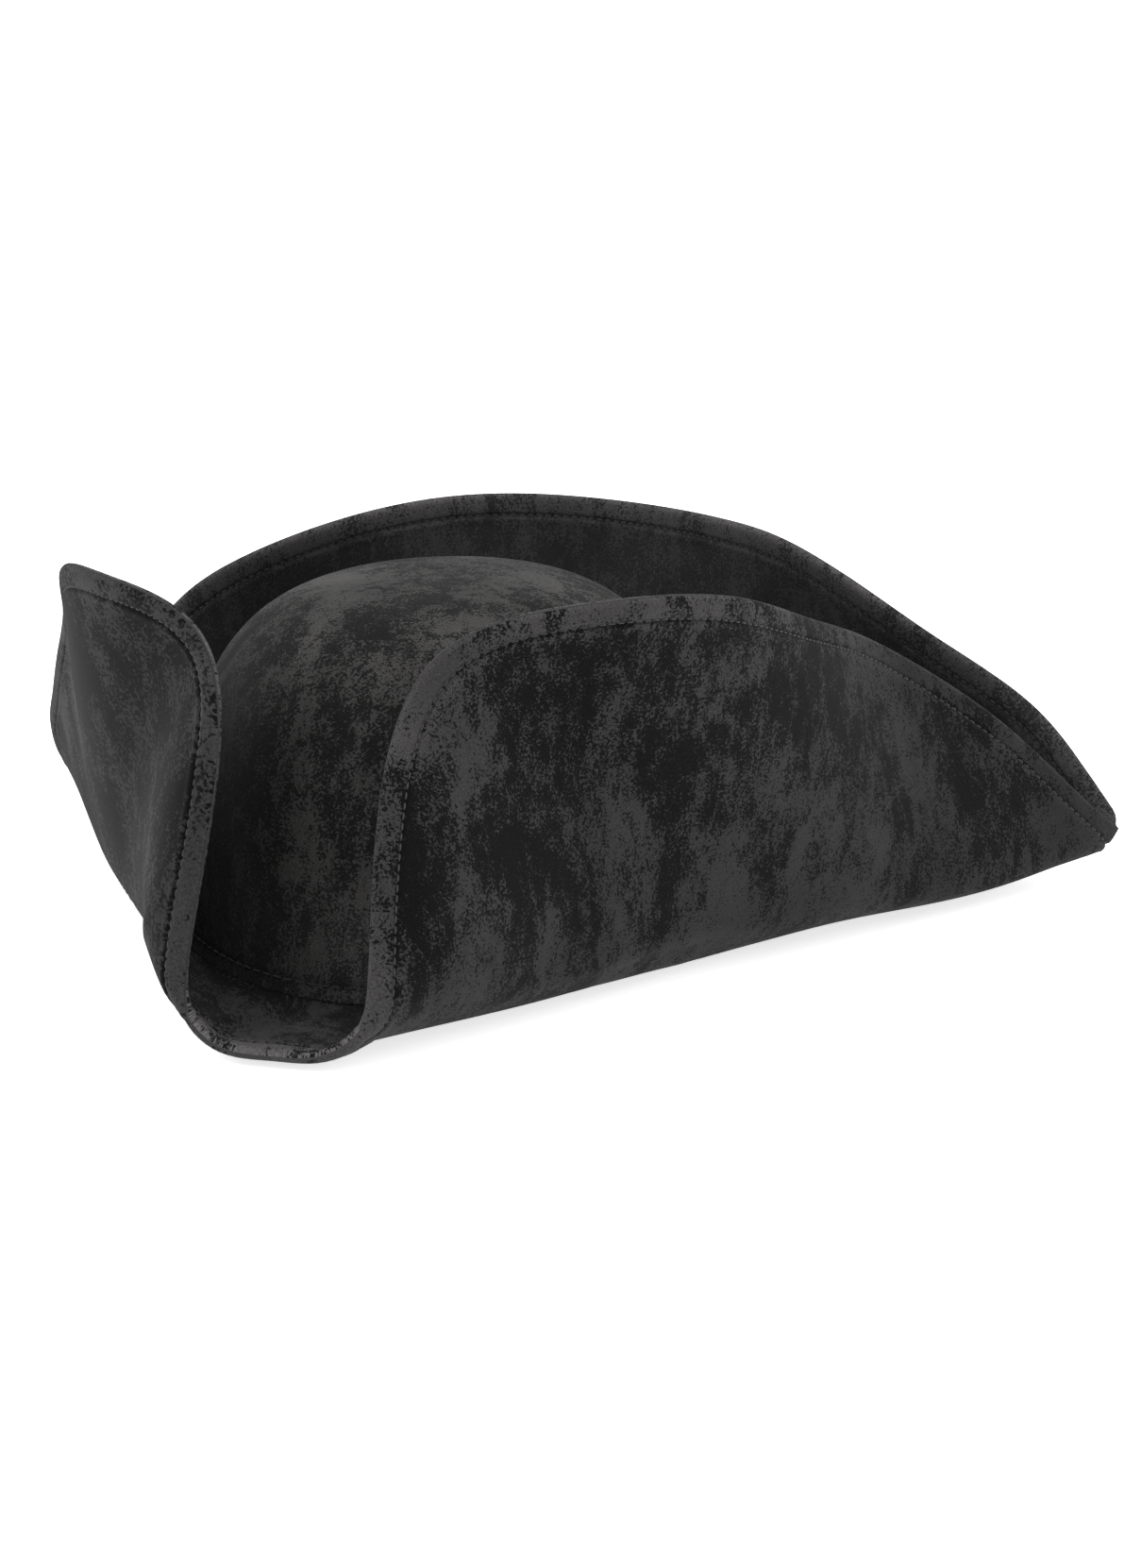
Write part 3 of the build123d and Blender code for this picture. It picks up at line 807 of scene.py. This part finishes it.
def cloth(name, colour, scale):
    """Plain dark cloth or thread with a fine grain."""
    material, nodes, links, shader = new_material(name)
    grain = noise(nodes, links, attribute(nodes, "nap", "Vector"), scale, 3.0, 0.6)
    darker = tuple(c * 0.7 for c in colour)
    lighter = tuple(c * 1.25 for c in colour)
    tint = ramp(nodes, links, grain, [(0.3, darker), (0.7, lighter)])
    links.new(tint, shader.inputs["Base Color"])
    shader.inputs["Roughness"].default_value = MATT
    shader.inputs["Sheen Weight"].default_value = 0.15
    bump = nodes.new("ShaderNodeBump")
    bump.inputs["Strength"].default_value = 0.6
    bump.inputs["Distance"].default_value = CLOTH_BUMP
    links.new(grain, bump.inputs["Height"])
    links.new(bump.outputs["Normal"], shader.inputs["Normal"])
    return material


def light_table(name):
    """The white floor of a product photograph, lit a little from below."""
    material, _, _, shader = new_material(name)
    shader.inputs["Base Color"].default_value = FLOOR_WHITE
    shader.inputs["Roughness"].default_value = MATT
    shader.inputs["Emission Color"].default_value = PURE_WHITE
    shader.inputs["Emission Strength"].default_value = FLOOR_GLOW
    return material


# ---------------------------------------------------------------- the hat

suede_brim = suede("faux_suede_brim", 0.0035, 0.0235, 0.525, tint=(1.05, 1.0, 1.03), streak=(12, 14))
suede_crown = suede("faux_suede_crown", 0.0062, 0.033, 0.51, tint=(1.035, 1.0, 0.98), streak=(4, -8))
thread = cloth("thread", (0.02, 0.02, 0.021), 3000.0)
lining_cloth = cloth("lining_cloth", (0.012, 0.012, 0.012), 900.0)
band_cloth = cloth("band_cloth", (0.014, 0.014, 0.014), 1400.0)


def dress(piece, material):
    piece.data.materials.append(material)


def bend_with(piece):
    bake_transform(piece)


sectors = {
    "left_turn_up": (0, LEFT_BEAK),
    "back_turn_up": (LEFT_BEAK, RIGHT_BEAK),
    "right_turn_up": (RIGHT_BEAK, COLUMNS),
}
for body, (first, last) in sectors.items():
    skin = brim_sector(body.replace("turn_up", "brim_cover"), first, last)
    dress(skin, suede_brim)
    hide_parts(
        body + "_inner_cover", body + "_outer_cover", body + "_foam_core", body + "_edge_wire")
    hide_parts("brim_upper_cover", "brim_under_cover", "brim_foam_core", "front_lip_wire")
    bend_with(skin)
    rows = edge_stitches(body.replace("turn_up", "brim_topstitching"), first, last)
    dress(rows, thread)
    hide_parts(body + "_edge_stitching", "front_lip_stitching")
    bend_with(rows)

crown = dome_skin("crown_cover", 0.0, 1.0 * MM, roll=True)
dress(crown, suede_crown)
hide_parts("crown_shell", "crown_stiffener")
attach(crown, "root")

lining = dome_skin("crown_lining_cloth", 3.2 * MM, 0.6 * MM, roll=False)
dress(lining, lining_cloth)
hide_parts("crown_lining")
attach(lining, "root")

band = sweatband_cloth("sweatband_cloth")
dress(band, band_cloth)
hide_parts("sweatband")
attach(band, "root")

band_row = stitch_ring(
    "sweatband_stitches", SWEATBAND_OUT - SWEATBAND_T, SWEATBAND_SEAM_Z, -1, STITCH_PITCH, STITCH_LENGTH)
dress(band_row, thread)
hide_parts("sweatband_stitching")
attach(band_row, "root")

seam_row = stitch_ring(
    "crown_seam_stitches", CROWN_HALF_WIDTH, CROWN_BASE_Z + SEAM_HEIGHT, 1, SEAM_PITCH, SEAM_STITCH)
dress(seam_row, thread)
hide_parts("crown_seam_stitching")
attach(seam_row, "root")

# ---------------------------------------------------------------- studio

FLOOR_REACH = 6
WORLD_STRENGTH = 1.25
LIT_POINT = (0, 0, 0.08)

floor_mesh = bpy.data.meshes.new("studio_floor")
floor_corners = [(x * FLOOR_REACH, y * FLOOR_REACH, 0) for x, y in ((-1, -1), (1, -1), (1, 1), (-1, 1))]
floor_mesh.from_pydata(floor_corners, [], [[0, 1, 2, 3]])
floor_piece = bpy.data.objects.new("studio_floor", floor_mesh)
bpy.context.scene.collection.objects.link(floor_piece)
floor_piece.data.materials.append(light_table("studio_white"))

scene = bpy.context.scene
scene.view_settings.view_transform = "Standard"
world = bpy.data.worlds.new("studio_world")
scene.world = world
world.use_nodes = True
world.node_tree.nodes["Background"].inputs["Color"].default_value = PURE_WHITE
world.node_tree.nodes["Background"].inputs["Strength"].default_value = WORLD_STRENGTH


def area_light(name, place, size, power):
    """A square lamp that faces the middle of the hat."""
    data = bpy.data.lights.new(name, "AREA")
    data.size = size
    data.energy = power
    made = bpy.data.objects.new(name, data)
    made.location = place
    made.rotation_euler = (Vector(LIT_POINT) - Vector(place)).to_track_quat("-Z", "Y").to_euler()
    scene.collection.objects.link(made)


area_light("key", (-1.0, -1.2, 1.3), 1.0, 6)
area_light("top", (0.1, -0.1, 1.8), 1.2, 15)
area_light("fill", (1.5, -0.7, 0.8), 1.0, 3)

CAMERA_AZIMUTH = math.radians(17.975)
CAMERA_ELEVATION = math.radians(13.524)
CAMERA_ROLL = math.radians(-0.294)
CAMERA_DISTANCE = 1.8
SENSOR_MM = 36.0
LENS_MM = 120.3
CAMERA_TARGET = Vector((0.0458, 0.0, 0.0582))
camera_data = bpy.data.cameras.new("camera")
camera_data.sensor_fit = "VERTICAL"
camera_data.sensor_height = SENSOR_MM
camera_data.lens = LENS_MM
camera = bpy.data.objects.new("camera", camera_data)
back = Vector((
    math.sin(CAMERA_AZIMUTH) * math.cos(CAMERA_ELEVATION),
    -math.cos(CAMERA_AZIMUTH) * math.cos(CAMERA_ELEVATION),
    math.sin(CAMERA_ELEVATION),
))
level_right = Vector((math.cos(CAMERA_AZIMUTH), math.sin(CAMERA_AZIMUTH), 0.0))
level_up = back.cross(level_right)
right = level_right * math.cos(CAMERA_ROLL) + level_up * math.sin(CAMERA_ROLL)
up = back.cross(right)
camera.matrix_world = Matrix((right, up, back)).transposed().to_4x4()
camera.location = CAMERA_TARGET + back * CAMERA_DISTANCE
scene.collection.objects.link(camera)
scene.camera = camera
